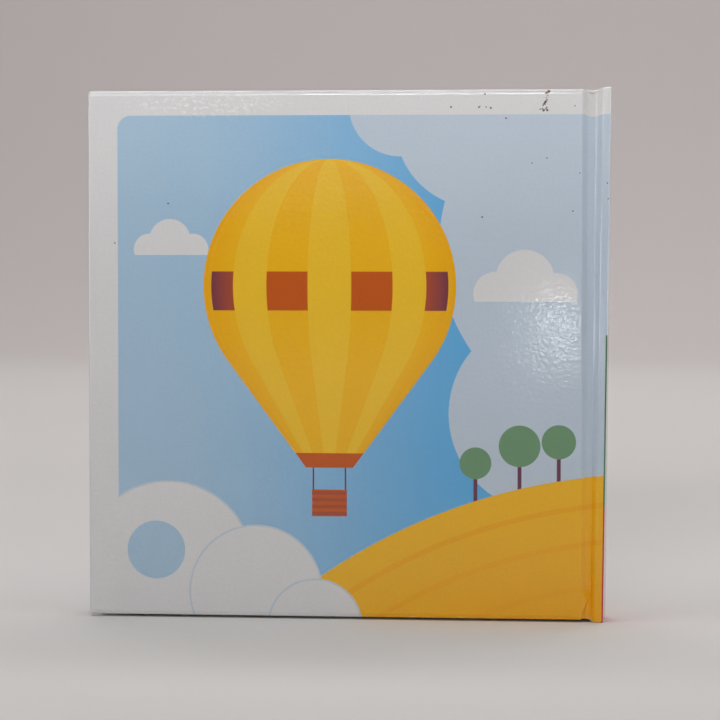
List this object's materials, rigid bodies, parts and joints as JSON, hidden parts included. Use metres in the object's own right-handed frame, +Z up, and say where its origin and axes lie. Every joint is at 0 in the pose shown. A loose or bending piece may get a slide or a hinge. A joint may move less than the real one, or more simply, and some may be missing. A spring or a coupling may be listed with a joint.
{
  "type": "hardcover children's book",
  "caption": "Square hardcover children's book, standing, with laminated covers that open on paper hinges along a flat spine.",
  "frame": {"origin": "under the middle of the standing book, on the surface that its tail stands on", "axes": "+Z up along the spine, +X from the fore edge to the spine, +Y from the back cover to the front cover"},
  "size_m": [0.214, 0.02, 0.218],
  "materials": {
    "leaves": "cut leaf edges",
    "lining": "crepe lining paper",
    "endpaper": "smooth white, matt",
    "greyboard": "grey pulp board",
    "cover_print": "colour print under gloss film"
  },
  "bodies": {
    "block": {"text_block": "leaves", "spine_lining": "lining", "back_flyleaf": "endpaper", "front_flyleaf": "endpaper", "spine_board": "greyboard", "spine_cover_paper": "cover_print"},
    "back_cover": {"back_board": "greyboard", "back_cover_paper": "cover_print", "back_pastedown": "endpaper"},
    "front_cover": {"front_board": "greyboard", "front_cover_paper": "cover_print", "front_pastedown": "endpaper"}
  },
  "joints": [
    {"name": "back_cover_hinge", "type": "hinge", "parent": "block", "child": "back_cover", "pos_m": [0.10385, -0.01015, 0.109], "axis": [0, 0, 1], "range_deg": [0, 180]},
    {"name": "front_cover_hinge", "type": "hinge", "parent": "block", "child": "front_cover", "pos_m": [0.10385, 0.01015, 0.109], "axis": [0, 0, -1], "range_deg": [0, 180]}
  ]
}
